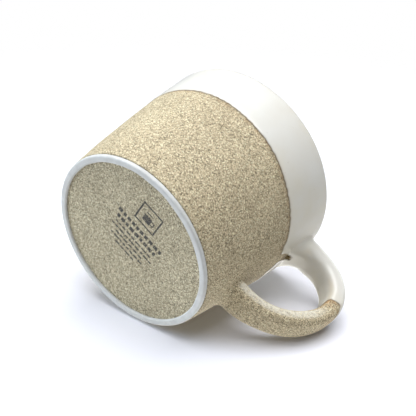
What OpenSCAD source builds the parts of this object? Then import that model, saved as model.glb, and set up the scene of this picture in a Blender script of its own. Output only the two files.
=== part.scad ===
// Stoneware mug, upright: the axis is Z, the foot ring rests on z = 0 and the
// handle points to +X. Two glazes meet along one tilted dip line: a matt sand
// coat below it and a glossy white glaze above it. Units are millimetres.

/* [Cup] */
// Outer diameter at the foot
base_d = 79; // [70:0.5:90]
// Outer diameter at the rim
rim_d = 97; // [90:0.5:110]
// Height from the resting plane to the top of the lip
cup_h = 77; // [74:0.5:95]
// How far the wall swells past a straight taper at mid height
wall_bulge = 1.0; // [0:0.1:2]
// Finished wall thickness at the lip
rim_t = 3.4; // [3:0.1:4.5]
// Finished wall thickness at the foot
low_t = 5.0; // [4.6:0.1:6.5]
// Height of the glazed floor inside the cup
floor_z = 6.2; // [5:0.1:9]
// Radius of the inside corner between floor and wall
corner_r = 5; // [3:0.5:6]

/* [Foot] */
// Width of the bare clay ring that the mug stands on
ring_w = 3.0; // [2.4:0.1:4]
// Height of the bare clay ring
ring_h = 1.9; // [1.6:0.1:2.4]
// Radius that rounds the two lower edges of the ring
ring_edge = 0.7; // [0.4:0.1:0.9]
// How far the base disc is set up inside the ring
recess = 1.1; // [0.8:0.1:1.3]

/* [Glaze] */
// Thickness of every glaze coat
coat_t = 0.5; // [0.3:0.05:0.7]
// Height of the dip line on the axis
dip_z = 50; // [46:0.5:54]
// Tilt of the dip line, in degrees
dip_tilt = 5.7; // [0:0.1:7]
// Direction in which the dip line is lowest, in degrees from the handle
dip_dir = 58; // [0:1:359]
// Height of the dip line on the handle
handle_dip_z = 51; // [46:0.5:56]

/* [Handle] */
// Finished width of the strap
strap_w = 14.4; // [12:0.2:18]
// Finished thickness of the strap
strap_t = 7.6; // [6.4:0.2:9]
// Radius of the strap's long edges
strap_edge = 3.0; // [2:0.1:3.1]
// Height of the strap's middle where it leaves the wall near the foot
low_z = 21; // [19:0.5:24]
// Distance from the axis at which the lower bend begins
bend_x = 44.6; // [44:0.2:47]
// Radius of the long lower bend
low_bend_r = 32.5; // [30:0.5:34]
// Radius of the short upper bend
top_bend_r = 17.5; // [16:0.5:19]
// Angle below level at which the two bends meet
meet_angle = 15; // [5:1:25]
// How far the clay joints flare past the strap on each side
flare = 2.0; // [1:0.1:2.6]
// Length of the joints along the strap
flare_len = 5; // [4:0.5:6]

/* [Base mark] */
// Width of the printed frame
mark_w = 11; // [8:0.5:12]
// Width of a printed line
mark_line = 0.8; // [0.6:0.1:1]
// Turn of the mark about the axis, in degrees
mark_turn = 4; // [-180:1:180]

/* [Hidden] */
$fn = 96;
base_r = base_d / 2;
rim_r = rim_d / 2;
wall_steps = 10;
lip_steps = 8;
corner_steps = 6;
hull_fn = 32;
lip_r = rim_t / 2;
lip_z = cup_h - lip_r;
disc_r = base_r - ring_w;
clay_floor_z = floor_z - coat_t;
// Layout of the print, measured from the axis
mark_t = 0.1;
frame_y = 19.5;
wide_bar_y = 10;
wide_bar_step = 3.8;
wide_bar_w = 26;
wide_bar_h = 1.8;
thin_bar_y = 2.6;
thin_bar_step = 2.6;
// Reaches past every surface that it has to cut
far = 150;
// Centres of the two bends and the height of the strap's level top stretch
low_cx = bend_x;
low_cz = low_z + low_bend_r;
top_cx = low_cx + (low_bend_r - top_bend_r) * cos(meet_angle);
top_cz = low_cz - (low_bend_r - top_bend_r) * sin(meet_angle);
top_z = top_cz + top_bend_r;
bend_steps = 14;
cut_steps = 2;
edge_steps = 4;

// Outer radius of the glazed wall at a height
function wall_r(z) =
    let (u = z / cup_h)
    base_r + (rim_r - base_r) * u + 4 * wall_bulge * u * (1 - u);

// Inner radius of the glazed wall at a height
function bore_r(z) = wall_r(z) - low_t + (low_t - rim_t) * z / cup_h;

// Wall outline from the ring up to the lip, moved into the clay by inset
function outer_side(inset) =
    [for (i = [0:wall_steps])
        let (z = ring_h + (lip_z - ring_h) * i / wall_steps)
        [wall_r(z) - inset, z]];

// Half round over the lip, from the outside to the inside
function lip_side(inset) =
    [for (i = [1:lip_steps - 1])
        let (a = 180 * i / lip_steps)
        [wall_r(lip_z) - lip_r + (lip_r - inset) * cos(a),
         lip_z + (lip_r - inset) * sin(a)]];

// Line down the bore from the lip to height low, moved into the clay by inset
function bore_line(inset, low) =
    [for (i = [0:wall_steps])
        let (z = lip_z + (low - lip_z) * i / wall_steps)
        [bore_r(z) + inset, z]];

// Glazed inside outline, down the bore and round the corner to the floor
function inside_face() =
    concat(
        bore_line(0, floor_z + corner_r),
        [for (i = [1:corner_steps])
            let (a = 90 * i / corner_steps)
            [bore_r(floor_z + corner_r) - corner_r * (1 - cos(a)),
             floor_z + corner_r * (1 - sin(a))]]);

function reversed(points) = [for (i = [len(points) - 1:-1:0]) points[i]];

// Stations at which the strap ends inside the wall
low_end = [[wall_r(low_z) - low_t / 2, low_z, -90]];
top_end = [[wall_r(top_z) - rim_t / 2, top_z, 90]];
// The handle's glaze starts and ends just clear of the flared joints
skin_gap = 0.6;
low_skin_a = -acos((wall_r(low_z) + flare_len + skin_gap - low_cx) / low_bend_r);
top_skin_x = wall_r(top_z) + flare_len + skin_gap;
// Angle of the upper bend at the handle's dip line
cut_a = asin((handle_dip_z - top_cz) / top_bend_r);

// Everything inside the wall's outer face, moved in by inset, without a bore
module wall_plug(inset) {
    rotate_extrude()
        polygon(concat([[0, ring_h]], outer_side(inset), [[0, lip_z]]));
}

module above_dip() {
    translate([0, 0, dip_z])
        rotate([0, 0, dip_dir])
            rotate([0, dip_tilt, 0])
                translate([-far, -far, 0])
                    cube([2 * far, 2 * far, far]);
}

// Rounded rectangle, w along x and t along y
module strap_section(w, t, edge) {
    square([w - 2 * edge, t], center = true);
    square([w, t - 2 * edge], center = true);
    for (sx = [-1, 1])
        for (sy = [-1, 1])
            translate([sx * (w / 2 - edge), sy * (t / 2 - edge)])
                circle(edge);
}

// Points around the strap's section, thinned on every side by inset
function section_points(inset) =
    let (edge = strap_edge - inset)
    [for (k = [0:3])
        for (j = [0:edge_steps])
            let (sx = (k == 0 || k == 3) ? 1 : -1, sy = k < 2 ? 1 : -1,
                 a = 90 * k + 90 * j / edge_steps)
            [sx * (strap_w / 2 - strap_edge) + edge * cos(a),
             sy * (strap_t / 2 - strap_edge) + edge * sin(a)]];

// Stations along a bend: x, z and the direction that faces out of the loop
function bend(cx, cz, r, from, to, steps) =
    [for (i = [0:steps])
        let (a = from + (to - from) * i / steps)
        [cx + r * cos(a), cz + r * sin(a), a]];

function low_bend(from) =
    bend(low_cx, low_cz, low_bend_r, from, -meet_angle, bend_steps);

function top_bend(from, to, steps) =
    bend(top_cx, top_cz, top_bend_r, from, to, steps);

function rest(list) = [for (i = [1:len(list) - 1]) list[i]];

function ring_at(station, section) =
    [for (p = section)
        [station[0] + p[1] * cos(station[2]), p[0], station[1] + p[1] * sin(station[2])]];

// Quads that join ring i to the next one, for rings of n points from index base
function side_faces(base, i, n, flip) =
    [for (j = [0:n - 1])
        let (a = base + i * n + j, b = base + i * n + (j + 1) % n)
        flip ? [a, a + n, b + n, b] : [a, b, b + n, a + n]];

// Solid strap through a list of stations
module swept_strap(stations, inset) {
    section = section_points(inset);
    n = len(section);
    last = len(stations) - 1;
    polyhedron(
        points = [for (s = stations) each ring_at(s, section)],
        faces = concat(
            [for (i = [0:last - 1]) each side_faces(0, i, n, false)],
            [[for (j = [n - 1:-1:0]) j], [for (j = [0:n - 1]) last * n + j]]));
}

// Hollow skin of glaze along a list of stations
module swept_skin(stations) {
    outer = section_points(0);
    inner = section_points(coat_t);
    n = len(outer);
    last = len(stations) - 1;
    m = len(stations) * n;
    polyhedron(
        points = concat([for (s = stations) each ring_at(s, outer)],
                        [for (s = stations) each ring_at(s, inner)]),
        faces = concat(
            [for (i = [0:last - 1]) each side_faces(0, i, n, false)],
            [for (i = [0:last - 1]) each side_faces(m, i, n, true)],
            [for (j = [0:n - 1])
                let (k = (j + 1) % n)
                [j, m + j, m + k, k]],
            [for (j = [0:n - 1])
                let (k = (j + 1) % n, e = last * n)
                [e + j, e + k, m + e + k, m + e + j]]));
}

module flare_plate(x, z, grow, thick) {
    translate([x, 0, z])
        rotate([90, 0, 90])
            linear_extrude(thick)
                strap_section(strap_w + 2 * grow, strap_t + 2 * grow, strap_edge + grow,
                              $fn = hull_fn);
}

// Flared block of joining clay around one end of the strap
module joint_block(z) {
    wall_x = wall_r(z);
    plate = 0.2;
    hull() {
        flare_plate(wall_x - 2, z, flare, plate);
        flare_plate(wall_x + 0.4, z, flare * 0.55, plate);
        flare_plate(wall_x + flare_len - plate, z, 0.06, plate);
    }
}

module joint(z, stations) {
    difference() {
        joint_block(z);
        swept_strap(stations, coat_t);
        wall_plug(coat_t);
    }
}

// Glaze on the outside of the wall, all the way round
module wall_skin() {
    difference() {
        rotate_extrude()
            polygon(concat(outer_side(0), reversed(outer_side(coat_t))));
        joint_block(low_z);
        joint_block(top_z);
    }
}

module cup_wall() {
    color("ivory")
        rotate_extrude()
            polygon(concat(
                [[disc_r, ring_h]], outer_side(coat_t), lip_side(coat_t),
                bore_line(coat_t, clay_floor_z), [[disc_r, clay_floor_z]]));
}

module cup_floor() {
    color("cornsilk")
        translate([0, 0, recess + coat_t])
            cylinder(r = disc_r, h = clay_floor_z - recess - coat_t);
}

module foot_ring() {
    mid_r = base_r - ring_w / 2;
    color("aliceblue")
        rotate_extrude()
            translate([mid_r, 0]) {
                translate([-ring_w / 2, ring_edge])
                    square([ring_w, ring_h - ring_edge]);
                translate([-ring_w / 2 + ring_edge, 0])
                    square([ring_w - 2 * ring_edge, ring_h]);
                for (s = [-1, 1])
                    translate([s * (ring_w / 2 - ring_edge), ring_edge])
                        circle(ring_edge);
            }
}

module wall_sand_coat() {
    color("tan")
        difference() {
            wall_skin();
            above_dip();
        }
}

module base_sand_coat() {
    color("rosybrown")
        translate([0, 0, recess])
            cylinder(r = disc_r, h = coat_t);
}

module rim_glaze() {
    color("white") {
        intersection() {
            wall_skin();
            above_dip();
        }
        rotate_extrude()
            polygon(concat(
                [[wall_r(lip_z), lip_z]], lip_side(0), [[bore_r(lip_z), lip_z]],
                [[bore_r(lip_z) + coat_t, lip_z]], reversed(lip_side(coat_t)),
                [[wall_r(lip_z) - coat_t, lip_z]]));
    }
}

// The glaze pools in the corner, where the clay wall stands on the clay floor
module liner_glaze() {
    color("snow")
        rotate_extrude()
            polygon(concat(
                inside_face(), [[0, floor_z], [0, clay_floor_z]],
                reversed(bore_line(coat_t, clay_floor_z))));
}

module handle_strap() {
    color("ivory")
        difference() {
            swept_strap(concat(low_end, low_bend(-90), rest(top_bend(-meet_angle, 90, bend_steps)),
                               top_end), coat_t);
            wall_plug(coat_t);
        }
}

module lower_joint() {
    color("tan")
        joint(low_z, concat(low_end, low_bend(-90)));
}

module upper_joint() {
    color("white")
        joint(top_z, concat([[top_cx, top_z, 90]], top_end));
}

module handle_sand_coat() {
    color("tan")
        swept_skin(concat(low_bend(low_skin_a),
                          rest(top_bend(-meet_angle, cut_a, cut_steps))));
}

module handle_glaze() {
    color("white")
        swept_skin(concat(top_bend(cut_a, 90, bend_steps), [[top_skin_x, top_z, 90]]));
}

// Bar of print with its middle at x, y
module bar(x, y, w, h) {
    translate([x, y])
        square([w, h], center = true);
}

// Plain cup outline in a square frame, with rows of plain bars under it
module mark_print() {
    frame_in = mark_w - 2 * mark_line;
    difference() {
        bar(0, frame_y, mark_w, mark_w);
        bar(0, frame_y, frame_in, frame_in);
    }
    bar(0, frame_y - 0.1 * mark_w, 0.36 * mark_w, 0.34 * mark_w);
    bar(0.24 * mark_w, frame_y - 0.08 * mark_w, 0.14 * mark_w, mark_line);
    bar(0, frame_y + 0.2 * mark_w, 0.3 * mark_w, mark_line);
    for (i = [0:1])
        bar(0, wide_bar_y - wide_bar_step * i, wide_bar_w - 4 * i, wide_bar_h);
    for (i = [0:4])
        bar(0, thin_bar_y - thin_bar_step * i, wide_bar_w - 3 * i, mark_line);
}

module base_mark() {
    color("dimgray")
        translate([0, 0, recess])
            rotate([180, 0, mark_turn])
                linear_extrude(mark_t)
                    mark_print();
}

cup_wall();
cup_floor();
foot_ring();
wall_sand_coat();
base_sand_coat();
rim_glaze();
liner_glaze();
handle_strap();
lower_joint();
upper_joint();
handle_sand_coat();
handle_glaze();
base_mark();
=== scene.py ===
"""Looks of a dipped stoneware mug: smooth glaze coats, a pulled handle and a plain studio."""

import math

import bmesh
import bpy
import numpy as np
from mathutils import Matrix, Vector


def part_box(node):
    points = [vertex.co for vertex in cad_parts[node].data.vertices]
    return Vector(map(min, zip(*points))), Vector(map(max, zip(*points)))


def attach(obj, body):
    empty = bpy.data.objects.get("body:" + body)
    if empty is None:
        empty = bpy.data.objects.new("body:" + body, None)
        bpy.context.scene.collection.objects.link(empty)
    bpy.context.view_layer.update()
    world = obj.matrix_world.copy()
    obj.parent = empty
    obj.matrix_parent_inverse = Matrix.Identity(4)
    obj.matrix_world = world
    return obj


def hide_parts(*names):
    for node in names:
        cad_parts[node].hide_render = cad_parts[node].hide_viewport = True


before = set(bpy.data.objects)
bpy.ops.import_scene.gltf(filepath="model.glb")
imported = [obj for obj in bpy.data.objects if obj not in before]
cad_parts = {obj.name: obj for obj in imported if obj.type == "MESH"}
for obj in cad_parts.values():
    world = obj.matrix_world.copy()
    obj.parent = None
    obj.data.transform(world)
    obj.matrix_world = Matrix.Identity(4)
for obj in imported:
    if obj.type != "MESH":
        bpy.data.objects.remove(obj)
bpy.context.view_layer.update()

bl_info = {
    "name": "Dipped Stoneware Mug",
    "version": (1, 0, 0),
    "blender": (4, 5, 0),
    "location": "View3D > Sidebar > Mug",
    "description": "Builds the glazes, the foot, the handle and the studio of a stoneware mug",
    "category": "Add Mesh",
}

MM = 0.001
# Values that a skin's points carry for its material. thin: coat run thin, brown in patches;
# edge: dark line at a coat's edge, and on the lip's crest glaze worn thin plus painted shade;
# the highlight mark: painted highlight, a cream streak on the strap's side faces; bare: no glaze at all
MARKS = ("thin", "edge", "painted_highlight", "bare")
TAU = 2 * math.pi

RING_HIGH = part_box("foot_ring")[1]
LIP_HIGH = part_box("rim_glaze")[1]
DISC_LOW, DISC_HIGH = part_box("base_sand_coat")
LINER_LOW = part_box("liner_glaze")[0]
LOOP_LOW, LOOP_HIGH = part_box("handle_glaze")
LOW_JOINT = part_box("lower_joint")
TOP_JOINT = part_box("upper_joint")


def middle(box, axis):
    return (box[0][axis] + box[1][axis]) / 2


# ------------ settings


def length_prop(name, default, description):
    return bpy.props.FloatProperty(
        name=name, description=description, default=default, unit="LENGTH")


def angle_prop(name, default, description):
    return bpy.props.FloatProperty(
        name=name, description=description, default=math.radians(default), subtype="ANGLE")


def colour_prop(name, default, description):
    return bpy.props.FloatVectorProperty(
        name=name, description=description, default=default, subtype="COLOR",
        size=3, min=0, max=1)


class MUG_PG_cup(bpy.types.PropertyGroup):
    foot_radius: length_prop("Foot radius", RING_HIGH[0], "Outer radius of the foot ring")
    rim_radius: length_prop("Rim radius", LIP_HIGH[1] + 0.15 * MM,
                            "Outer radius that the wall's taper reaches at the lip")
    height: length_prop("Height", LIP_HIGH[2], "Height of the lip over the table")
    bulge: length_prop("Bulge", 1.0 * MM, "How far the wall swells past a straight taper")
    lip_wall: length_prop("Lip thickness", 3.4 * MM, "Finished wall thickness at the lip")
    foot_wall: length_prop("Foot thickness", 5.0 * MM, "Finished wall thickness at the foot")
    floor_height: length_prop("Floor height", LINER_LOW[2] + DISC_HIGH[2] - DISC_LOW[2],
                              "Height of the glazed floor inside")
    corner: length_prop("Inside corner", 5.0 * MM, "Radius between floor and wall inside")
    coat: length_prop("Coat", DISC_HIGH[2] - DISC_LOW[2], "Thickness of a glaze coat")


class MUG_PG_dip(bpy.types.PropertyGroup):
    height: length_prop("Dip height", 49.6 * MM, "Height of the dip line on the axis")
    tilt: angle_prop("Dip tilt", 5.7, "Tilt of the dip line")
    heading: angle_prop("Dip heading", 58, "Direction in which the dip line is lowest")
    bead: length_prop("Bead", 0.26 * MM, "How far the white glaze stands over the sand coat")
    finger: length_prop("Bare finger", 10.2 * MM,
                        "How far the sand coat shows past the line under the handle")


class MUG_PG_handle(bpy.types.PropertyGroup):
    width: length_prop("Strap width", LOOP_HIGH[1] - LOOP_LOW[1], "Width of the strap at the bend")
    thickness: length_prop("Strap thickness", 2 * (LOOP_HIGH[2] - middle(TOP_JOINT, 2)),
                           "Thickness of the strap")
    low_bend: length_prop("Lower bend", 32.5 * MM, "Radius of the long lower bend")
    top_bend: length_prop("Upper bend", 17.5 * MM, "Radius of the short upper bend")
    root_gain: length_prop("Root gain", 1.8 * MM, "Extra width of the strap near the wall")
    dip: length_prop("Dip height", 51.5 * MM, "Height of the dip line on the handle")
    flare: bpy.props.FloatProperty(
        name="Joint flare", description="Scale of the smoothed joints at the wall", default=1.0)


class MUG_PG_colours(bpy.types.PropertyGroup):
    sand: colour_prop("Sand", (0.51, 0.432, 0.288), "Middle tone of the sand coat")
    glaze: colour_prop("White glaze", (0.74, 0.73, 0.68), "Colour of the white glaze")
    clay: colour_prop("Bare clay", (0.66, 0.68, 0.69), "Colour of the bare fired clay")
    ember: colour_prop("Ember", (0.50, 0.24, 0.07), "Orange brown where a coat runs thin")
    ink: colour_prop("Ink", (0.018, 0.018, 0.022), "Colour of the print under the base")


GROUPS = (
    ("mug_cup", MUG_PG_cup),
    ("mug_dip", MUG_PG_dip),
    ("mug_handle", MUG_PG_handle),
    ("mug_colours", MUG_PG_colours),
)


# ------------ mesh tools


# Number of waves in the hand-made unevenness, and their shortest and longest in millimetres
RIPPLES, RIPPLE_SHORT, RIPPLE_LONG = 9, 9, 34


def ripple(points, seed):
    """Smooth hand-made unevenness between -1 and 1, repeatable for one seed."""
    total = np.zeros(points.shape[:-1])
    rng = np.random.default_rng(seed)
    for _ in range(RIPPLES):
        direction = rng.normal(size=3)
        direction /= np.linalg.norm(direction)
        length = rng.uniform(RIPPLE_SHORT, RIPPLE_LONG) * MM
        total += np.sin(TAU * (points @ direction) / length + rng.uniform(0, TAU))
    return total / 5


def edge_noise(angle, seed, lowest, highest, count):
    """Unevenness along a ring, between about -1 and 1, that closes on itself."""
    rng = np.random.default_rng(seed)
    total = np.zeros_like(angle)
    for _ in range(count):
        turns = rng.integers(lowest, highest)
        total += np.sin(turns * angle + rng.uniform(0, TAU))
    return total / math.sqrt(count)


def smooth_step(value):
    value = np.clip(value, 0, 1)
    return value * value * (3 - 2 * value)


def grid_faces(rows, columns, wrap_rows):
    faces = []
    last = rows if wrap_rows else rows - 1
    for i in range(last):
        low = i * columns
        high = ((i + 1) % rows) * columns
        for j in range(columns):
            k = (j + 1) % columns
            faces.append((low + j, low + k, high + k, high + j))
    return faces


def new_object(name, data):
    made = bpy.data.objects.new(name, data)
    bpy.context.scene.collection.objects.link(made)
    return made


def finish_mesh(name, points, faces, marks=None, normals=None):
    """Makes a smooth object from points and faces; marks are named values at its points."""
    mesh = bpy.data.meshes.new(name)
    mesh.from_pydata([tuple(p) for p in points], [], faces)
    for key in MARKS:
        attribute = mesh.attributes.new(key, "FLOAT", "POINT")
        if marks and key in marks:
            values = np.asarray(marks[key], dtype=np.float32).ravel()
            attribute.data.foreach_set("value", values)
    work = bmesh.new()
    work.from_mesh(mesh)
    bmesh.ops.remove_doubles(work, verts=work.verts, dist=1e-7)
    bmesh.ops.recalc_face_normals(work, faces=work.faces)
    work.to_mesh(mesh)
    work.free()
    mesh.shade_smooth()
    if normals is not None:
        mesh.normals_split_custom_set_from_vertices([tuple(n) for n in normals])
    return new_object(name, mesh)


class Rings:
    """Rings of a turned skin, gathered in order from one of its edges to the other."""

    def __init__(self):
        self.rows = []

    def add(self, radius, height, thin=0.0):
        """One ring; each value holds all the way round or is given column by column."""
        row = np.broadcast_arrays(radius, height, thin, np.zeros(COLUMNS))
        self.rows.append(row[:3])

    def arrays(self):
        """Radii, heights and thinness as (rows, columns) arrays."""
        return (np.array([row[k] for row in self.rows]) for k in range(3))


def push_out(points, shift):
    """Moves points away from the mug's axis."""
    reach = np.maximum(np.hypot(points[..., 0], points[..., 1]), 1e-6)
    points[..., :2] *= (1 + shift / reach)[..., None]


def ring_piece(name, points, marks=None, wrap_rows=True):
    """Closed skin from an array of rings (rows, columns, xyz)."""
    rows, columns, _ = points.shape
    faces = grid_faces(rows, columns, wrap_rows)
    return finish_mesh(name, points.reshape(-1, 3), faces, marks)


def turned(radius, height, angle):
    """Points on rings from radii, heights and angles of matching or single shape."""
    radius, height, angle = np.broadcast_arrays(radius, height, angle)
    return np.stack([radius * np.cos(angle), radius * np.sin(angle), height], axis=-1)


def arc(cx, cz, r, start, end, count):
    """Points on a circle's arc as a list of (radius, height) pairs; angles in degrees."""
    angles = np.radians(np.linspace(start, end, count))
    return [(cx + r * math.cos(a), cz + r * math.sin(a)) for a in angles]


def settle(piece, material, slot, *nodes):
    """Gives a piece its material and its place in the frame."""
    piece.data.materials.clear()
    piece.data.materials.append(material)
    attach(piece, "root")
    if nodes:
        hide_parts(*nodes)


# ------------ mug forms

COLUMNS = 512
WALL_WOBBLE = 0.07 * MM
WALL_SEED = 41
# Uneven glaze line: height, seed, fewest and most waves round the wall, and how many are summed
LINE_WAVES = (
    (0.22 * MM, 5, 3, 14, 6),
    (0.13 * MM, 6, 30, 110, 14),
    (0.05 * MM, 7, 140, 260, 10),
)
FINGER_FOOT = math.radians(-8)
FINGER_LEAN = math.radians(10)
# Heights between which the finger leans over, and degrees of wall that lean with it
LEAN_LOW, LEAN_RISE, LEAN_REACH = 48 * MM, 15 * MM, 22
# Half width of the finger in degrees, the glaze run beside it and the sag past it
FINGER_HALF = 3.0
RUN_DEPTH, RUN_PLACE, RUN_HALF = 0.9 * MM, -8.5, 3.5
SAG_DEPTH, SAG_START, SAG_END = 3.2 * MM, 4, 25
# Height of the disc's middle over its edge, and of the unevenness on it
DISC_RISE, DISC_RELIEF, DISC_SEED = 0.25 * MM, 0.035 * MM, 23
# How far the skins go under one another, and down the inside of the lip
UNDERLAP = 2.5 * MM
LIP_INSIDE = 5 * MM


def wall_radius(cup, z):
    u = z / cup.height
    return cup.foot_radius + (cup.rim_radius - cup.foot_radius) * u + 4 * cup.bulge * u * (1 - u)


def bore_radius(cup, z):
    return wall_radius(cup, z) - cup.foot_wall + (cup.foot_wall - cup.lip_wall) * z / cup.height


def disc_height(r):
    """Height of the slightly crowned base disc at a distance from the axis."""
    return DISC_LOW[2] + DISC_RISE * (1 - (r / DISC_HIGH[0]) ** 2)


def from_finger(angle):
    """Degrees round the wall from the foot of the bare finger, between -180 and 180."""
    return np.degrees((angle - FINGER_FOOT + math.pi) % TAU - math.pi)


def lean(angle, z):
    """Turn of the wall's columns at a height, so that the bare finger leans to the handle."""
    near = np.exp(-((from_finger(angle) / LEAN_REACH) ** 2))
    return FINGER_LEAN * near * smooth_step((z - LEAN_LOW) / LEAN_RISE)


def dip_line(scene, angle):
    """Height of the white glaze's lower edge round the wall, by column."""
    cup, dip = scene.mug_cup, scene.mug_dip
    reach = wall_radius(cup, dip.height)
    level = dip.height - math.tan(dip.tilt) * reach * np.cos(angle - dip.heading)
    for height, seed, fewest, most, count in LINE_WAVES:
        level = level + height * edge_noise(angle, seed, fewest, most, count)
    side = from_finger(angle)
    finger = dip.finger * np.exp(-(np.abs(side) / FINGER_HALF) ** 6)
    run = RUN_DEPTH * np.exp(-(((side - RUN_PLACE) / RUN_HALF) ** 2))
    sag = SAG_DEPTH * smooth_step((side - SAG_START) / 6)
    sag = sag * (1 - smooth_step((side - SAG_END) / SAG_END))
    return level + finger - run - sag


def bare_amount(scene, points):
    """1 where a point close to the wall lies in the bare finger, and 0 outside it."""
    angle = np.arctan2(points[..., 1], points[..., 0])
    column = angle
    for _ in range(6):
        column = angle - lean(column, points[..., 2])
    inside = dip_line(scene, column) - points[..., 2]
    near = np.exp(-((from_finger(column) / (3 * FINGER_HALF)) ** 6))
    return near * smooth_step(inside / (0.5 * MM) + 0.5)


def hand_wobble(points):
    """Moves the wall's rings in and out a little, as a thrown wall does."""
    push_out(points, WALL_WOBBLE * ripple(points, WALL_SEED))


def even_columns():
    return np.linspace(0, TAU, COLUMNS, endpoint=False)


def close_columns():
    """Angles of the wall's columns, packed more closely round the bare finger."""
    even = np.linspace(0, TAU, 8 * COLUMNS, endpoint=False)
    weight = 1 + 3 * np.exp(-((from_finger(even) / 14) ** 2))
    share = np.cumsum(weight)
    share = (share - share[0]) / (share[-1] - share[0] + weight[0])
    return np.interp(np.arange(COLUMNS) / COLUMNS, share, even)


def build_foot_ring(scene):
    """Bare clay ring with rounded edges and a slightly uneven inner side."""
    inner, outer, top = DISC_HIGH[0], scene.mug_cup.foot_radius, RING_HIGH[2]
    edge = 0.85 * MM
    outline = (
        arc(inner + edge * 0.8, edge * 0.8, edge * 0.8, 180, 270, 7)
        + [(inner + (outer - inner) * t, 0.0) for t in (0.35, 0.5, 0.65)]
        + arc(outer - edge, edge, edge, 270, 360, 8)
        + [(outer, edge + (top - edge) * t) for t in (0.4, 0.8)]
        + [(outer - 0.15 * MM, top), (inner + 0.3 * MM, top), (inner, top - 0.2 * MM)]
    )
    outline = np.array(outline)
    angle = even_columns()
    points = turned(outline[:, :1], outline[:, 1:], angle)
    on_inside = np.clip((outer - 1.5 * MM - np.hypot(points[..., 0], points[..., 1])) / MM, 0, 1)
    push_out(points, on_inside * 0.11 * MM * edge_noise(angle, 11, 2, 22, 8))
    return ring_piece("turned_foot_ring", points)


def build_base_coat():
    """Sand coat on the disc inside the foot ring, with a slightly uneven edge."""
    low, high, edge = DISC_LOW[2], DISC_HIGH[2], DISC_HIGH[0]
    angle = even_columns()
    uneven = edge + 0.07 * MM * edge_noise(angle, 21, 20, 120, 16)
    rings = Rings()
    for r in (0.0, 2 * MM, *(edge * np.linspace(0.12, 0.97, 26))):
        rings.add(r, disc_height(r))
    rings.add(uneven - 0.35 * MM, low + 0.03 * MM)
    rings.add(uneven - 0.05 * MM, low - 0.02 * MM)
    rings.add(uneven + 0.12 * MM, low + 0.12 * MM)
    for r in (edge, edge * 0.5, 0.0):
        rings.add(r, high)
    radius, height, _ = rings.arrays()
    points = turned(radius, height, angle)
    points[..., 2] += DISC_RELIEF * ripple(points, DISC_SEED)
    return ring_piece("base_sand_coat_skin", points, wrap_rows=False)


def build_wall_coat(scene):
    """Sand coat from the foot ring to just under the white glaze's edge."""
    cup = scene.mug_cup
    angle = close_columns()
    line = dip_line(scene, angle)
    low, top = RING_HIGH[2], line + UNDERLAP
    uneven = 0.05 * MM * edge_noise(angle, 31, 20, 90, 12)
    rings = Rings()
    rings.add(cup.foot_radius - cup.coat, low + 0.02 * MM)
    rings.add(wall_radius(cup, low) - 0.12 * MM, low + uneven)
    for t in np.linspace(0, 1, 84):
        z = low + 0.22 * MM + uneven * (1 - t) + (top - low - 0.22 * MM) * t
        rings.add(wall_radius(cup, z), z)
    for t in np.linspace(1, 0, 9):
        z = low + 0.3 * MM + (top - 0.1 * MM - low) * t
        rings.add(wall_radius(cup, z) - cup.coat, z)
    radius, height, _ = rings.arrays()
    points = turned(radius, height, angle + lean(angle, height))
    hand_wobble(points)
    in_finger = np.exp(-(np.abs(from_finger(angle)) / 3.4) ** 4)
    dark = in_finger * smooth_step((height - 49 * MM) / (4 * MM))
    from_line = np.abs(line - height)
    marks = {
        "edge": np.maximum(np.exp(-from_line / (0.60 * MM)), 0.62 * dark),
        "thin": 0.55 * np.exp(-from_line / (1.6 * MM)) + 0.8 * dark,
    }
    return ring_piece("wall_sand_coat_skin", points, marks)


def bead_profile(distance, dip):
    """How far a glaze edge stands out at a distance from its own edge."""
    near = np.clip(distance / (0.75 * MM), 0, 1)
    rise = dip.bead * np.sqrt(np.clip(1 - (1 - near) ** 2, 0, 1))
    settled = 0.35 * dip.bead * smooth_step(distance / (7 * MM) - 0.1)
    return rise - settled - 0.06 * MM * (1 - near)


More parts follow.
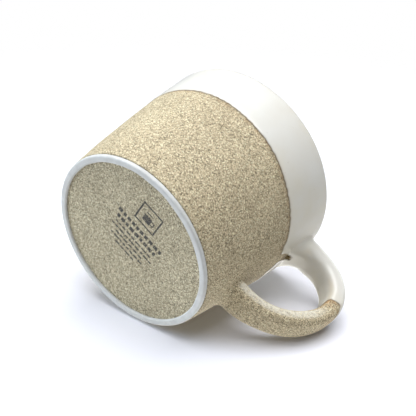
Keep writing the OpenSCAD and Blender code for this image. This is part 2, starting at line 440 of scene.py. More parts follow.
def build_rim_glaze(scene):
    """White band from the dip line over the rounded lip to the inside."""
    cup, dip = scene.mug_cup, scene.mug_dip
    angle = close_columns()
    start = dip_line(scene, angle)
    lip = cup.lip_wall / 2
    lip_z = cup.height - lip
    bead_steps = np.array([0, 0.06, 0.14, 0.26, 0.42, 0.6, 0.8, 1.1, 1.6]) * MM
    steps = np.concatenate([bead_steps, np.linspace(2.4, 24, 22) * MM])
    rings = Rings()
    for step in steps:
        share = step / steps[-1]
        distance = step * (1 - share) + (lip_z - start) * share
        z = start + distance
        at_edge = np.exp(-distance / (0.5 * MM)) * 0.9
        near_lip = smooth_step(1 - (lip_z - z) / (4.5 * MM)) * 0.25
        rings.add(wall_radius(cup, z) + bead_profile(distance, dip), z,
                  np.maximum(at_edge, near_lip))
    skin = float(bead_profile(np.array([20 * MM]), dip)[0])
    centre = wall_radius(cup, lip_z) - lip
    for a in np.radians(np.linspace(8, 180, 19)):
        grow = lip + skin * (1 + math.cos(a)) / 2
        worn = 0.30 + 0.45 * max(0.0, math.sin(a)) ** 3
        rings.add(centre + grow * math.cos(a), lip_z + lip * math.sin(a), worn)
    for t in (0.2, 0.4, 0.6, 0.8, 0.99, 0.998, 1.0):
        z = lip_z - LIP_INSIDE * t
        rings.add(bore_radius(cup, z), z, 0.25 * (1 - t))
    half_coat = 0.45 * cup.coat
    for t in (0, 0.01, 0.5, 1):
        z = lip_z - LIP_INSIDE * (1 - t)
        rings.add(bore_radius(cup, z) + half_coat, z)
    for t in np.linspace(0, 1, 9):
        z = lip_z * (1 - t) + (start + 0.25 * MM) * t
        rings.add(wall_radius(cup, z) - half_coat, z)
    radius, height, thin = rings.arrays()
    points = turned(radius, height, angle + lean(angle, height))
    hand_wobble(points)
    lift = 0.12 * MM * edge_noise(angle, 47, 2, 9, 5)
    points[..., 2] += lift * smooth_step((points[..., 2] - 60 * MM) / (16 * MM))
    # Dark line on the lip's crest: glaze worn thin there, plus painted shade of the rounded lip
    crest_wear_and_shade = np.exp(-(((cup.height - height) / (0.5 * MM)) ** 2))
    marks = {
        "thin": thin,
        "edge": np.maximum(np.exp(-(height - start) / (0.22 * MM)), 0.30 * crest_wear_and_shade),
    }
    return ring_piece("white_rim_glaze", points, marks)


def build_liner(scene):
    """White glaze down the inside wall, round the corner and over the floor."""
    cup = scene.mug_cup
    top = cup.height - cup.lip_wall / 2 - LIP_INSIDE
    low = cup.floor_height + cup.corner
    outline = [(bore_radius(cup, z), z) for z in (top, top - 0.01 * MM, top - 0.05 * MM)]
    outline += [(bore_radius(cup, z), z) for z in np.linspace(top, low, 40)[1:]]
    centre = bore_radius(cup, low) - cup.corner
    outline += arc(centre, low, cup.corner, 0, -90, 14)[1:]
    outline += [(centre * t, cup.floor_height) for t in np.linspace(0.94, 0, 16)]
    back = cup.coat * 0.9
    outline += [(centre * t, cup.floor_height - back) for t in (0, 0.5, 1)]
    outline += arc(centre, low, cup.corner + back, -90, 0, 8)[1:]
    outline += [(bore_radius(cup, z) + back, z) for z in np.linspace(low, top, 8)[1:]]
    outline.append((bore_radius(cup, top) + 0.05 * MM, top))
    outline = np.array(outline)
    points = turned(outline[:, :1], outline[:, 1:], even_columns())
    hand_wobble(points)
    x, y, z = np.moveaxis(points, -1, 0)
    rings = 0.045 * MM * np.sin(TAU * z / (5.5 * MM) + np.arctan2(y, x))
    wall_only = smooth_step((z - low) / (10 * MM)) * smooth_step((top - z) / (12 * MM))
    push_out(points, rings * wall_only)
    return ring_piece("white_liner_glaze", points)


# ------------ handle

SECTION_POINTS = 112
SECTION_POWER = 3.2
# Radius of the smoothed joint on the loop's outside, its inside and the strap's two sides
LOW_FILLET = (3.6 * MM, 1.1 * MM, 1.1 * MM)
TOP_FILLET = (3.0 * MM, 10.0 * MM, 3.0 * MM)
# How far along the strap its root widens and follows the round wall
ROOT_REACH, CLING_REACH = 17 * MM, 9 * MM
JOINT_LENGTH = 11 * MM
# Where the glaze line on the strap runs higher: on its two sides and on its outside
LINE_SIDES, LINE_OUTSIDE = 1.5 * MM, 1.1 * MM
# Turns of the strap's two side faces, in degrees, and half their width; a highlight is painted on them
NEAR_FACE, FAR_FACE, FACE_HALF = 194, 346, 20
STRAP_RELIEF, STRAP_SEED = 0.13 * MM, 61


def bend(x, z, radius, start, end):
    """Rows of x, z and heading along a round stretch of the handle's centre line."""
    a = np.linspace(start, end, 300)
    return np.stack([x + radius * np.cos(a), z + radius * np.sin(a), a], axis=1)


class Loop:
    """The handle's centre line, from the wall near the foot to the wall near the rim."""

    def __init__(self, scene):
        cup, handle = scene.mug_cup, scene.mug_handle
        low_z, top_z = middle(LOW_JOINT, 2), middle(TOP_JOINT, 2)
        big, small = handle.low_bend, handle.top_bend
        big_z, small_z = low_z + big, top_z - small
        small_x = LOOP_HIGH[0] - handle.thickness / 2 - small
        big_x = small_x - math.sqrt((big - small) ** 2 - (big_z - small_z) ** 2)
        meet = math.atan2(small_z - big_z, small_x - big_x)
        quarter = math.pi / 2
        self.low_wall, self.top_wall = wall_radius(cup, low_z), wall_radius(cup, top_z)
        line = np.vstack([
            np.linspace((self.low_wall, low_z, -quarter), (big_x, low_z, -quarter), 20),
            bend(big_x, big_z, big, -quarter, meet),
            bend(small_x, small_z, small, meet, quarter),
            np.linspace((small_x, top_z, quarter), (self.top_wall, top_z, quarter), 60),
        ])
        step = np.hypot(np.diff(line[:, 0]), np.diff(line[:, 1]))
        moved = step > 1e-9
        self.line = line[np.concatenate([[True], moved])]
        self.along = np.concatenate([[0], np.cumsum(step[moved])])
        self.length = float(self.along[-1])

    def at(self, s):
        """Place in x and z and heading at distances along the line."""
        return (np.interp(s, self.along, self.line[:, k]) for k in range(3))

    def where_height(self, height):
        """Distance along the line at which the outer half reaches a height."""
        half = self.along > self.length * 0.35
        return float(np.interp(height, self.line[half][:200, 1], self.along[half][:200]))


def section_outline(turn):
    """Across and through the strap, from -1 to 1, at turns round its section."""
    power = 2 / SECTION_POWER
    across = np.sign(np.cos(turn)) * np.abs(np.cos(turn)) ** power
    through = np.sign(np.sin(turn)) * np.abs(np.sin(turn)) ** power
    return across, through


def section_turns(handle):
    """Turns round the section that stand evenly along its outline."""
    fine = np.linspace(0, TAU, 8 * SECTION_POINTS)
    across, through = section_outline(fine)
    step = np.hypot(np.diff(across) * handle.width, np.diff(through) * handle.thickness)
    length = np.concatenate([[0.0], np.cumsum(step)])
    even = np.arange(SECTION_POINTS) / SECTION_POINTS * length[-1]
    return np.interp(even, length, fine)


def by_side(values, turn):
    """A value round the section, from its outside, inside and side values."""
    out, inner, side = values
    up = np.maximum(np.sin(turn), 0) ** 2
    down = np.maximum(-np.sin(turn), 0) ** 2
    return out * up + inner * down + side * (1 - up - down)


def strap_surface(scene, loop, s, extra):
    """Points of the strap's surface; s and extra are (rows, section points) arrays."""
    cup, handle = scene.mug_cup, scene.mug_handle
    turn = section_turns(handle)
    across, through = section_outline(turn)
    to_end = np.minimum(s, loop.length - s)
    fillet = np.where(s < loop.length / 2, by_side(LOW_FILLET, turn), by_side(TOP_FILLET, turn))
    fillet = fillet * handle.flare
    into = np.clip(fillet - to_end, 0, fillet)
    grow = fillet - np.sqrt(np.maximum(fillet ** 2 - into ** 2, 0))
    root = handle.root_gain * (1 - smooth_step(to_end / ROOT_REACH))
    y = (handle.width / 2 + root / 2 + grow + extra) * across
    out = (handle.thickness / 2 + root / 4 + grow + extra) * through
    x, z, heading = loop.at(s)
    x = x + out * np.cos(heading)
    z = z + out * np.sin(heading)
    cling = 1 - smooth_step(to_end / CLING_REACH)
    on_wall = np.sqrt(np.maximum(wall_radius(cup, z) ** 2 - y ** 2, 0))
    x = x + cling * (on_wall - np.where(s < loop.length / 2, loop.low_wall, loop.top_wall))
    points = np.stack([x, y, z], axis=-1)
    shift = STRAP_RELIEF * ripple(points, STRAP_SEED) * (1 - cling)
    outward = [np.cos(heading) * through, np.broadcast_to(across, s.shape), np.sin(heading) * through]
    points += shift[..., None] * np.stack(outward, axis=-1)
    points[..., 0] -= 0.14 * MM * (1 - smooth_step(to_end / (1.2 * MM)))
    return points


def surface_normals(points):
    """Outward normals of a grid whose columns wrap."""
    down = np.gradient(points, axis=0)
    round_ = np.roll(points, -1, axis=1) - np.roll(points, 1, axis=1)
    normal = np.cross(round_, down)
    normal /= np.maximum(np.linalg.norm(normal, axis=2, keepdims=True), 1e-12)
    centre = points.mean(axis=1, keepdims=True)
    if (normal * (points - centre)).sum() < 0:
        normal = -normal
    return normal


def capped_piece(name, points, normals, marks):
    """Closed tube: rings of points with a fan of faces over each end."""
    rows, columns, _ = points.shape
    faces = grid_faces(rows, columns, False)
    first = rows * columns
    last_row = first - columns
    for j in range(columns):
        k = (j + 1) % columns
        faces.append((first, k, j))
        faces.append((first + 1, last_row + j, last_row + k))
    middles = points.mean(axis=1)
    ends = [middles[0], middles[-1]]
    away = [middles[0] - middles[1], middles[-1] - middles[-2]]
    away = [v / max(np.linalg.norm(v), 1e-12) for v in away]
    all_points = np.vstack([points.reshape(-1, 3), ends])
    all_normals = np.vstack([normals.reshape(-1, 3), away])
    all_marks = {key: np.concatenate([value.ravel(), [0, 0]]) for key, value in marks.items()}
    return finish_mesh(name, all_points, faces, all_marks, all_normals)


def row_places(start, end, fine=""):
    """Distances along the strap, packed closely at the end where it meets the wall."""
    flare = np.array([0, 0.05, 0.12, 0.25, 0.45, 0.7, 1.0, 1.4, 1.8, 2.3, 2.8, 3.3, 4.2]) * MM
    past = 5.2 * MM
    if fine == "start":
        places = np.concatenate([start + flare, np.linspace(start + past, end, 9)])
    elif fine == "end":
        places = np.concatenate([np.linspace(start, end - past, 9), end - flare[::-1]])
    else:
        places = np.linspace(start, end, max(4, int((end - start) / (1.1 * MM))))
    return np.repeat(places[:, None], SECTION_POINTS, axis=1)


def split_pieces(first, second, split, points, marks):
    """Two closed pieces, named first and second, that meet at one row of a strap."""
    normals = surface_normals(points)
    halves = ((first, slice(None, split)), (second, slice(split - 1, None)))
    return [
        capped_piece(name, points[rows], normals[rows],
                     {key: value[rows] for key, value in marks.items()})
        for name, rows in halves
    ]


def build_handle(scene):
    """Four pieces of the handle: both joints, the sand coat and the white glaze."""
    handle, dip = scene.mug_handle, scene.mug_dip
    loop = Loop(scene)
    turn = section_turns(handle)
    cut = loop.where_height(handle.dip)
    # Coat run thin, in brown breaks, along the strap's two edges inside the loop
    worn = np.abs(np.sin(2 * turn)) ** 6 * (np.sin(turn) < 0)

    root = row_places(0, JOINT_LENGTH, "start")
    whole = np.vstack([root, row_places(JOINT_LENGTH, cut + 4 * MM)[1:]])
    points = strap_surface(scene, loop, whole, np.zeros_like(whole))
    start = cut + (
        LINE_SIDES * np.cos(2 * turn)
        - LINE_OUTSIDE * np.sin(turn)
        + 0.35 * MM * edge_noise(turn, 71, 2, 7, 4)
        + 0.12 * MM * edge_noise(turn, 72, 8, 20, 8)
    )
    # Painted highlight: a cream streak on the two side faces of the sand-coated limb, weaker on the far
    # face, fading out at the root and before the glaze line
    side_face = np.exp(-(((np.degrees(turn) - NEAR_FACE) / FACE_HALF) ** 4))
    side_face += 0.6 * np.exp(-(((np.degrees(turn) - FAR_FACE) / FACE_HALF) ** 4))
    run = smooth_step(whole / (2.5 * MM)) * smooth_step((start - 4 * MM - whole) / (12 * MM))
    from_line = np.abs(start[None, :] - whole)
    marks = {
        "thin": worn * (1 - 0.7 * side_face) + 0.9 * np.exp(-from_line / (3.0 * MM)),
        "edge": np.exp(-from_line / (0.45 * MM)),
        "painted_highlight": side_face * run,
    }
    pieces = split_pieces("lower_joint_skin", "handle_sand_coat_skin", len(root), points, marks)

    bead_steps = np.array([0, 0.06, 0.14, 0.26, 0.42, 0.6, 0.85, 1.3, 2.0]) * MM
    bead_rows = start[None, :] + bead_steps[:, None]
    joint_start = loop.length - JOINT_LENGTH
    t = np.linspace(0, 1, 34)[1:, None]
    body_rows = bead_rows[-1][None, :] * (1 - t) + joint_start * t
    end_rows = row_places(joint_start, loop.length, "end")[1:]
    whole = np.vstack([bead_rows, body_rows, end_rows])
    to_end = loop.length - whole
    extra = bead_profile(whole - start[None, :], dip) * smooth_step(to_end / (6 * MM))
    points = strap_surface(scene, loop, whole, extra)
    near_wall = smooth_step((6 * MM - to_end) / (2 * MM))
    marks = {
        "thin": 0.7 * worn + 0.9 * np.exp(-(whole - start) / (0.5 * MM)),
        "edge": np.exp(-(whole - start) / (0.22 * MM)),
        "bare": bare_amount(scene, points) * near_wall,
    }
    split = len(bead_rows) + len(body_rows)
    return pieces + split_pieces("handle_white_glaze", "upper_joint_skin", split, points, marks)


# ------------ print

PRINT_TURN = math.radians(4)
# Bottom and top of the ink over the coat, and the longest side of its mesh's faces
INK_LOW, INK_HIGH, INK_STEP = -0.045 * MM, 0.02 * MM, 0.8 * MM
# The frame's centre over the print's middle, its side and its line
FRAME_Y, FRAME_SIDE, FRAME_LINE = 19.5 * MM, 10.6 * MM, 0.75 * MM
WIDE_DASH, WIDE_GAP = (1.9 * MM, 1.3 * MM, 2.4 * MM), 0.85 * MM
THIN_DASH, THIN_GAP = (0.85 * MM, 0.9 * MM, 3.2 * MM), 0.7 * MM


def bar(x, y, width, height):
    """Left, right, low and high side of one printed bar."""
    return x - width / 2, x + width / 2, y - height / 2, y + height / 2


def framed_cup():
    """Bars of a square frame with a small plain cup in it."""
    bars = []
    for side in (-FRAME_SIDE / 2, FRAME_SIDE / 2):
        bars.append(bar(0, FRAME_Y + side, FRAME_SIDE, FRAME_LINE))
        bars.append(bar(side, FRAME_Y, FRAME_LINE, FRAME_SIDE + FRAME_LINE))
    cup = (
        (-0.4, -1.1, 4.2, 3.8),
        (2.5, -0.1, 1.6, 0.5),
        (2.5, -2.0, 1.6, 0.5),
        (3.2, -1.05, 0.5, 2.2),
        (-0.4, 2.2, 3.4, 0.5),
    )
    bars += [bar(x * MM, FRAME_Y + y * MM, w * MM, h * MM) for x, y, w, h in cup]
    return bars


def dashes(rng, y, width, dash, gap):
    """One printed row of dashes of uneven length."""
    height, shortest, longest = dash
    bars = []
    x = -width / 2
    while x < width / 2 - shortest:
        w = min(rng.uniform(shortest, longest), width / 2 - x)
        bars.append(bar(x + w / 2, y, w, height))
        x += w + gap
    return bars


def add_bar(work, bar):
    """Adds one bar to a mesh as a closed slab that follows the crowned disc."""
    x0, x1, y0, y1 = bar
    columns = max(1, int((x1 - x0) / INK_STEP))
    rows = max(1, int((y1 - y0) / INK_STEP))
    x, y = np.meshgrid(np.linspace(x0, x1, columns + 1), -np.linspace(y0, y1, rows + 1))
    x, y = (x * math.cos(PRINT_TURN) - y * math.sin(PRINT_TURN),
            x * math.sin(PRINT_TURN) + y * math.cos(PRINT_TURN))
    points = np.stack([x, y, disc_height(np.hypot(x, y))], axis=-1)
    points[..., 2] += DISC_RELIEF * ripple(points, DISC_SEED)
    rims = []
    for lift in (INK_LOW, INK_HIGH):
        grid = [[work.verts.new(point) for point in row] for row in points + (0, 0, lift)]
        for low, high in zip(grid, grid[1:]):
            for i in range(columns):
                work.faces.new((low[i], low[i + 1], high[i + 1], high[i]))
        rims.append(
            grid[0]
            + [row[columns] for row in grid[1:]]
            + grid[rows][:columns][::-1]
            + [row[0] for row in grid[rows - 1:0:-1]]
        )
    low, high = rims
    for k in range(len(low)):
        work.faces.new((low[k - 1], low[k], high[k], high[k - 1]))


def build_mark():
    """Print under the base: a cup in a frame over rows of plain dashes."""
    rng = np.random.default_rng(17)
    bars = framed_cup()
    for y, width in ((9.9, 25.5), (6.3, 23.5)):
        bars += dashes(rng, y * MM, width * MM, WIDE_DASH, WIDE_GAP)
    for i, width in enumerate((22.0, 24.0, 17.0, 20.0, 12.0)):
        bars += dashes(rng, (2.9 - 2.5 * i) * MM, width * MM, THIN_DASH, THIN_GAP)
    work = bmesh.new()
    for each in bars:
        add_bar(work, each)
    bmesh.ops.recalc_face_normals(work, faces=work.faces)
    mesh = bpy.data.meshes.new("base_print")
    work.to_mesh(mesh)
    work.free()
    return new_object("base_print", mesh)


# ------------ materials


class Nodes:
    """Short way to lay out the nodes of a material or a world."""

    def __init__(self, owner, output):
        owner.use_nodes = True
        self.tree = owner.node_tree
        self.tree.nodes.clear()
        self.out = self.add(output)

    def feed(self, socket, value):
        """Gives a socket a number, a colour or another node's output."""
        if isinstance(value, (int, float)):
            socket.default_value = value
        elif isinstance(value, tuple):
            socket.default_value = (*value, 1)
        elif value is not None:
            self.tree.links.new(value, socket)

    def add(self, kind, sockets=None, **settings):
        """New node with its settings made and its sockets fed, by their names or numbers."""
        node = self.tree.nodes.new(kind)
        for key, value in settings.items():
            setattr(node, key, value)
        for key, value in (sockets or {}).items():
            self.feed(node.inputs[key], value)
        return node

    def mix(self, factor, first, second, blend="MIX"):
        sockets = {0: factor, 6: first, 7: second}
        return self.add("ShaderNodeMix", sockets, data_type="RGBA", blend_type=blend).outputs[2]

    def maths(self, kind, *values, clamp=False):
        sockets = dict(enumerate(values))
        return self.add("ShaderNodeMath", sockets, operation=kind, use_clamp=clamp).outputs[0]

    def product(self, first, second, clamp=False):
        return self.maths("MULTIPLY", first, second, clamp=clamp)

    def blend_shaders(self, factor, first, second):
        """Sends a blend of two shaders to the output."""
        sockets = {0: factor, 1: first.outputs[0], 2: second.outputs[0]}
        blend = self.add("ShaderNodeMixShader", sockets)
        self.feed(self.out.inputs[0], blend.outputs[0])


class Finish(Nodes):
    """Nodes of one material, with its shader and the object's own coordinates."""

    def __init__(self, name):
        self.material = bpy.data.materials.get(name) or bpy.data.materials.new(name)
        super().__init__(self.material, "ShaderNodeOutputMaterial")
        self.shader = self.add("ShaderNodeBsdfPrincipled")
        self.feed(self.out.inputs[0], self.shader.outputs[0])
        self.place = self.add("ShaderNodeTexCoord").outputs["Object"]

    def noise(self, scale, detail=2.0, rough=0.5, place=None):
        sockets = {"Scale": scale, "Detail": detail, "Roughness": rough}
        sockets["Vector"] = place or self.place
        return self.add("ShaderNodeTexNoise", sockets).outputs["Fac"]

    def cells(self, scale):
        """Distance from the middle of a small cell, and its random red, green and blue."""
        node = self.add("ShaderNodeTexVoronoi", {"Scale": scale, "Vector": self.place})
        pick = self.add("ShaderNodeSeparateColor", {0: node.outputs["Color"]})
        return node.outputs["Distance"], pick.outputs

    def ramp(self, value, *stops):
        """Colours or grey levels at places between 0 and 1, blended in between."""
        node = self.add("ShaderNodeValToRGB", {"Fac": value})
        band = node.color_ramp.elements
        while len(band) < len(stops):
            band.new(0.5)
        for element, (position, colour) in zip(band, stops):
            element.position = position
            if isinstance(colour, (int, float)):
                colour = (colour, colour, colour)
            element.color = (*colour, 1)
        return node.outputs["Color"]

    def mark(self, key):
        return self.add("ShaderNodeAttribute", attribute_name=key).outputs["Fac"]

    def bump(self, height, strength, distance, base=None):
        sockets = {"Strength": strength, "Distance": distance, "Height": height, "Normal": base}
        return self.add("ShaderNodeBump", sockets).outputs[0]

    def finish(self, colour, roughness, normal=None, **values):
        """Feeds the shader and returns the material; values are constants by socket name."""
        inputs = self.shader.inputs
        self.feed(inputs["Base Color"], colour)
        self.feed(inputs["Roughness"], roughness)
        self.feed(inputs["Normal"], normal)
        for key, value in values.items():
            self.feed(inputs[key.replace("_", " ").title().replace("Ior", "IOR")], value)
        return self.material


def tinted(colour, red, green=None, blue=None):
    """A colour with each channel scaled; one factor given scales all three."""
    factors = (red, red if green is None else green, red if blue is None else blue)
    return tuple(min(1.0, c * factor) for c, factor in zip(colour, factors))


def grain(tone, factor, blue):
    """Tone of one kind of grain: factor times the coat's, with a share of its blue."""
    green = 0.5 + 0.5 * min(1.0, blue + 0.1)
    return tinted(tone, factor, factor * green, factor * blue)


def sand_colour(nodes, tone):
    """Colour and grain height of the speckled coat for one middle tone."""
    middle_of_grain, pick = nodes.cells(2500)
    coarse = nodes.ramp(
        pick[0],
        (0.00, grain(tone, 0.08, 0.72)),
        (0.14, grain(tone, 0.17, 0.78)),
        (0.26, grain(tone, 0.68, 1.0)),
        (0.58, grain(tone, 1.00, 1.0)),
        (0.82, grain(tone, 1.42, 1.02)),
        (1.00, grain(tone, 2.35, 1.10)),
    )
    _, fine = nodes.cells(4000)
    specks = nodes.ramp(
        fine[1],
        (0.00, grain(tone, 0.31, 0.75)),
        (0.25, grain(tone, 0.80, 1.05)),
        (0.75, grain(tone, 1.12, 1.0)),
        (1.00, grain(tone, 1.75, 1.1)),
    )
    colour = nodes.mix(0.36, coarse, specks)
    cloud = nodes.ramp(nodes.noise(55, 3), (0.3, (0.93, 0.92, 0.90)), (0.7, (1.05, 1.05, 1.04)))
    colour = nodes.mix(1.0, colour, cloud, "MULTIPLY")
    return colour, nodes.maths("ADD", middle_of_grain, fine[0])


def sand_material(colours, name="sand_coat", painted_shade_tint=(1.0, 1.0, 1.0)):
    """Matt speckled coat with fine grit, with a cream painted highlight where the strap's side faces
    are marked; its tint gives a darker copy as painted shade.
    """
    nodes = Finish(name)
    colour, height = sand_colour(nodes, tinted(colours.sand, *painted_shade_tint))
    # Painted highlight: cream streaks where the strap's side faces carry the highlight mark
    light = nodes.ramp(nodes.noise(700, 2, 0.6), (0.35, 0.35), (0.6, 1.0))
    light = nodes.product(nodes.product(nodes.mark("painted_highlight"), light), 0.9)
    colour = nodes.mix(light, colour, (0.80, 0.78, 0.68))
    patches = nodes.ramp(nodes.noise(420, 2, 0.6), (0.42, 0.0), (0.62, 1.0))
    ember = nodes.product(nodes.product(nodes.mark("thin"), patches, True), 0.6)
    colour = nodes.mix(ember, colour, tuple(colours.ember))
    dark = nodes.product(nodes.mark("edge"), 0.85, True)
    colour = nodes.mix(dark, colour, (0.060, 0.042, 0.022))
    dull = nodes.ramp(nodes.noise(900, 2), (0.3, 0.62), (0.7, 0.86))
    grit = nodes.bump(height, 0.35, 0.12 * MM)
    grit = nodes.bump(nodes.noise(260, 3), 0.25, 0.3 * MM, grit)
    return nodes.finish(colour, dull, grit, specular_ior_level=0.35)


def white_material(colours):
    """Glossy white glaze, warmer where it runs thin, with a soft orange peel."""
    nodes = Finish("white_glaze")
    cream = nodes.ramp(
        nodes.noise(30, 4, 0.55),
        (0.32, tinted(colours.glaze, 0.98, 0.955, 0.88)),
        (0.50, tuple(colours.glaze)),
        (0.68, tinted(colours.glaze, 1.03, 1.05, 1.08)),
    )
    warm = nodes.mix(0.5, cream, (0.70, 0.60, 0.44))
    stretched = nodes.add("ShaderNodeMapping", {"Vector": nodes.place})
    stretched.inputs["Scale"].default_value = (1, 1, 0.35)
    runs = nodes.noise(160, 3, 0.6, stretched.outputs[0])
    runs = nodes.ramp(runs, (0.40, 0.0), (0.68, 1.0))
    colour = nodes.mix(nodes.product(nodes.mark("thin"), runs, True), cream, warm)
    from_pin, pick = nodes.cells(420)
    pin = nodes.ramp(from_pin, (0.05, 1.0), (0.11, 0.0))
    rare = nodes.ramp(pick[0], (0.05, 1.0), (0.06, 0.0))
    colour = nodes.mix(nodes.product(nodes.product(pin, rare), 0.35), colour, (0.28, 0.20, 0.12))
    # Dark line at the glaze's lower edge; on the lip's crest it is glaze worn thin plus painted shade
    edge = nodes.product(nodes.mark("edge"), 0.75, True)
    colour = nodes.mix(edge, colour, (0.16, 0.11, 0.06))
    soil = nodes.ramp(
        nodes.noise(900, 2, 0.7),
        (0.36, (0.055, 0.038, 0.018)),
        (0.62, (0.24, 0.185, 0.10)),
    )
    bare = nodes.mark("bare")
    colour = nodes.mix(bare, colour, soil)
    gloss = nodes.ramp(nodes.noise(70, 3), (0.3, 0.08), (0.75, 0.18))
    gloss = nodes.mix(bare, gloss, (0.7, 0.7, 0.7))
    covered = nodes.maths("SUBTRACT", 1.0, bare, clamp=True)
    peel = nodes.bump(nodes.noise(330, 1), 0.10, 0.3 * MM)
    peel = nodes.bump(nodes.noise(60, 2), 0.12, 1.5 * MM, peel)
    return nodes.finish(colour, gloss, peel, coat_roughness=0.05,
                        specular_ior_level=nodes.product(covered, 0.45),
                        coat_weight=nodes.product(covered, 0.12))


def clay_material(colours):
    """Bare fired clay, smooth and dry, with faint mottling."""
    nodes = Finish("bare_clay")
    tone = nodes.ramp(
        nodes.noise(300, 4, 0.6),
        (0.30, tinted(colours.clay, 0.90)),
        (0.70, tinted(colours.clay, 1.07)),
    )
    rub = nodes.ramp(nodes.noise(45, 2), (0.35, (0.95, 0.94, 0.92)), (0.65, 1.0))
    colour = nodes.mix(1.0, tone, rub, "MULTIPLY")
    dry = nodes.ramp(nodes.noise(600, 2), (0.3, 0.50), (0.7, 0.68))
    return nodes.finish(colour, dry, nodes.bump(nodes.noise(1500, 3, 0.6), 0.22, 0.15 * MM))


def ink_material(colours):
    """Dull dark print with the grit of the coat showing through it."""
    nodes = Finish("base_ink")
    sand, height = sand_colour(nodes, tuple(colours.sand))
    worn = nodes.ramp(nodes.noise(1500, 3, 0.7), (0.50, 0.0), (0.66, 0.55))
    colour = nodes.mix(worn, tuple(colours.ink), sand)
    dull = nodes.ramp(nodes.noise(900, 2), (0.3, 0.45), (0.7, 0.7))
    return nodes.finish(colour, dull, nodes.bump(height, 0.3, 0.1 * MM))


# ------------ studio

CAMERA_SPOT = Vector((72.7, -276.9, -202.7)) * MM
CAMERA_AHEAD = Vector((-0.1734, 0.7341, 0.6566))
CAMERA_UP = Vector((-0.6993, -0.5612, 0.4427))
CAMERA_LENS = 73.56
CENTRE = Vector((0.012, 0, 0.038))
# Direction round the mug's axis in which it lies on the table
REST_ANGLE = math.radians(59)
RESTING = ("wall_sand_coat_skin", "white_rim_glaze", "turned_foot_ring",
           "handle_sand_coat_skin", "handle_white_glaze")
# The table top's half side, and the distance from its middle at which it starts to fade
TABLE_REACH, TABLE_CLEAR = 0.42, 0.14
TABLE_TONE = (0.90, 0.915, 1.0)
TABLE_BOUNCE_TONE = (0.72, 0.71, 0.69)
# Strength of the surroundings for soft light, and what a glossy surface sees on top of it
SOFT_WORLD, SHINE_WORLD = 0.08, 0.5


def resting_plane(scene):
    """Upward normal of the table under the lying mug, and its distance from the origin."""
    cup = scene.mug_cup
    taper = math.atan2(cup.rim_radius - cup.foot_radius, cup.height)
    down = Vector((
        math.cos(REST_ANGLE) * math.cos(taper),
        math.sin(REST_ANGLE) * math.cos(taper),
        -math.sin(taper),
    ))
    deepest = max(vertex.co @ down for name in RESTING
                  for vertex in bpy.data.objects[name].data.vertices)
    return -down, deepest


def table_material():
    """Pale paper, seen only from its front, that fades out towards its rim."""
    nodes = Finish("table_paper")
    seen = nodes.add("ShaderNodeLightPath").outputs["Is Camera Ray"]
    nodes.finish(nodes.mix(seen, TABLE_BOUNCE_TONE, TABLE_TONE), 0.6, specular_ior_level=0.2)
    reach = nodes.add("ShaderNodeVectorMath", {0: nodes.place}, operation="LENGTH")
    sockets = {"Value": reach.outputs["Value"], "From Min": TABLE_CLEAR, "From Max": TABLE_REACH * 0.98}
    fade = nodes.add("ShaderNodeMapRange", sockets, interpolation_type="SMOOTHSTEP")
    behind = nodes.add("ShaderNodeNewGeometry").outputs["Backfacing"]
    hidden = nodes.maths("MAXIMUM", behind, fade.outputs["Result"])
    nodes.blend_shaders(hidden, nodes.shader, nodes.add("ShaderNodeBsdfTransparent"))
    return nodes.material


def build_table(scene):
    """Pale table top under the lying mug; gives its upward direction and itself."""
    up, deepest = resting_plane(scene)
    bpy.ops.mesh.primitive_grid_add(x_subdivisions=8, y_subdivisions=8, size=2 * TABLE_REACH)
    table = bpy.context.object
    table.name = "table_top"
    turn = Vector((0, 0, 1)).rotation_difference(up).to_matrix().to_4x4()
    spot = CENTRE - up * (CENTRE.dot(up) + deepest)
    table.matrix_world = Matrix.Translation(spot) @ turn
    table.data.materials.append(table_material())
    return up, table


def area_light(name, offset, size, power, colour=(1, 1, 1)):
    """Rectangular light at an offset from the mug's middle, turned towards it."""
    data = bpy.data.lights.new(name, "AREA")
    data.shape = "RECTANGLE"
    data.size, data.size_y = size
    data.energy = power
    data.color = colour
    light = new_object(name, data)
    light.location = CENTRE + offset
    light.rotation_euler = (-offset).to_track_quat("-Z", "Y").to_euler()
    return light


def build_lights(up, table):
    """Broad box over the mug, two soft windows and a weak light behind the table."""
    toward = CAMERA_SPOT - CENTRE
    toward = (toward - up * toward.dot(up)).normalized()
    right = up.cross(toward).normalized()
    if right.dot(CAMERA_AHEAD.cross(CAMERA_UP)) < 0:
        right = -right
    window = (0.6, 0.35)
    area_light("soft_box", up * 0.80, (0.9, 0.9), 11.0)
    area_light("left_window", up * 0.25 - right * 0.80, window, 4.4, (0.80, 0.90, 1.0))
    area_light("back_window", up * 0.35 + right * 0.60 - toward * 0.55, window, 1.3)
    behind = area_light("behind_table", -up * 0.5 - toward * 0.1, (0.8, 0.8), 2.5)
    behind.data.cycles.max_bounces = 0
    passed = bpy.data.collections.new("table_does_not_block")
    passed.objects.link(table)
    passed.collection_objects[0].light_linking.link_state = "EXCLUDE"
    behind.light_linking.blocker_collection = passed


def build_world():
    """White backdrop that gives little light of its own."""
    world = bpy.data.worlds.new("studio")
    bpy.context.scene.world = world
    nodes = Nodes(world, "ShaderNodeOutputWorld")
    path = nodes.add("ShaderNodeLightPath").outputs
    strength = nodes.maths("MULTIPLY_ADD", path["Is Glossy Ray"], SHINE_WORLD, SOFT_WORLD)
    dim = nodes.add("ShaderNodeBackground", {"Color": (0.95, 0.97, 1.0), "Strength": strength})
    back = nodes.add("ShaderNodeBackground", {"Color": (1, 1, 1), "Strength": 1.0})
    nodes.blend_shaders(path["Is Camera Ray"], dim, back)


def build_camera():
    data = bpy.data.cameras.new("camera")
    camera = new_object("camera", data)
    ahead = CAMERA_AHEAD.normalized()
    right = ahead.cross(CAMERA_UP).normalized()
    turn = Matrix((right, right.cross(ahead), -ahead)).transposed().to_4x4()
    camera.matrix_world = Matrix.Translation(CAMERA_SPOT) @ turn
    data.sensor_width = 36
    data.lens = CAMERA_LENS
    data.clip_start = 0.01
    bpy.context.scene.camera = camera


# ------------ operators


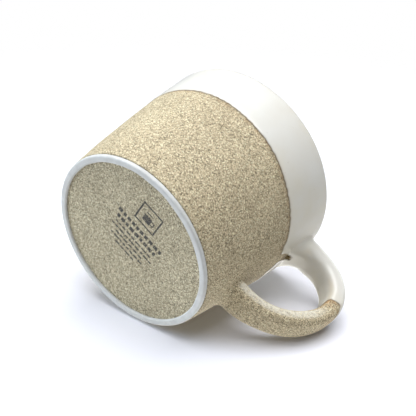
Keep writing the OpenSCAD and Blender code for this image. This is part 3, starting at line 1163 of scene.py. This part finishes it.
class MUG_OT_foot(bpy.types.Operator):
    """Builds the bare foot ring and the clay body's finish"""
    bl_idname = "mug.foot"
    bl_label = "Foot and clay"

    def execute(self, context):
        clay = clay_material(context.scene.mug_colours)
        settle(build_foot_ring(context.scene), clay, "bare_clay", "foot_ring")
        for node in ("cup_wall", "cup_floor", "handle_strap"):
            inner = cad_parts[node]
            inner.data.materials.clear()
            inner.data.materials.append(clay)
        return {"FINISHED"}


class MUG_OT_sand(bpy.types.Operator):
    """Builds the speckled coats of the wall and the base"""
    bl_idname = "mug.sand"
    bl_label = "Sand coats"

    def execute(self, context):
        colours = context.scene.mug_colours
        wall = sand_material(colours)
        # The base disc's coat is a darker, bluer copy of the sand coat: painted shade on the disc,
        # which the overhead light only grazes
        base = sand_material(colours, "base_sand", (0.93, 0.97, 1.02))
        settle(build_wall_coat(context.scene), wall, "sand_glaze", "wall_sand_coat")
        settle(build_base_coat(), base, "sand_glaze", "base_sand_coat")
        return {"FINISHED"}


class MUG_OT_white(bpy.types.Operator):
    """Builds the white glaze of the rim and the inside"""
    bl_idname = "mug.white"
    bl_label = "White glaze"

    def execute(self, context):
        white = white_material(context.scene.mug_colours)
        settle(build_rim_glaze(context.scene), white, "white_glaze", "rim_glaze")
        settle(build_liner(context.scene), white, "white_glaze", "liner_glaze")
        return {"FINISHED"}


class MUG_OT_handle(bpy.types.Operator):
    """Builds the handle's two joints and two coats"""
    bl_idname = "mug.handle"
    bl_label = "Handle"

    def execute(self, context):
        sand = bpy.data.materials["sand_coat"]
        white = bpy.data.materials["white_glaze"]
        low, coat, glaze, top = build_handle(context.scene)
        settle(low, sand, "sand_glaze", "lower_joint")
        settle(coat, sand, "sand_glaze", "handle_sand_coat")
        settle(glaze, white, "white_glaze", "handle_glaze")
        settle(top, white, "white_glaze", "upper_joint")
        return {"FINISHED"}


class MUG_OT_mark(bpy.types.Operator):
    """Builds the print under the base"""
    bl_idname = "mug.mark"
    bl_label = "Base print"

    def execute(self, context):
        ink = ink_material(context.scene.mug_colours)
        settle(build_mark(), ink, "stamp_print", "base_mark")
        return {"FINISHED"}


class MUG_OT_studio(bpy.types.Operator):
    """Lays the table top and sets the lights, the backdrop and the camera"""
    bl_idname = "mug.studio"
    bl_label = "Studio"

    def execute(self, context):
        up, table = build_table(context.scene)
        build_lights(up, table)
        build_world()
        build_camera()
        context.scene.view_settings.view_transform = "Standard"
        return {"FINISHED"}


class MUG_PT_panel(bpy.types.Panel):
    """Buttons that build each part of the mug"""
    bl_idname = "MUG_PT_panel"
    bl_label = "Stoneware mug"
    bl_space_type = "VIEW_3D"
    bl_region_type = "UI"
    bl_category = "Mug"

    def draw(self, context):
        for operator in OPERATORS:
            self.layout.operator(operator.bl_idname)


OPERATORS = (MUG_OT_foot, MUG_OT_sand, MUG_OT_white, MUG_OT_handle, MUG_OT_mark, MUG_OT_studio)


def register():
    for name, group in GROUPS:
        bpy.utils.register_class(group)
        setattr(bpy.types.Scene, name, bpy.props.PointerProperty(type=group))
    for operator in OPERATORS:
        bpy.utils.register_class(operator)
    bpy.utils.register_class(MUG_PT_panel)


def unregister():
    bpy.utils.unregister_class(MUG_PT_panel)
    for operator in reversed(OPERATORS):
        bpy.utils.unregister_class(operator)
    for name, group in reversed(GROUPS):
        delattr(bpy.types.Scene, name)
        bpy.utils.unregister_class(group)


def main():
    register()
    bpy.ops.mug.foot()
    bpy.ops.mug.sand()
    bpy.ops.mug.white()
    bpy.ops.mug.handle()
    bpy.ops.mug.mark()
    bpy.ops.mug.studio()


if __name__ == "__main__":
    main()
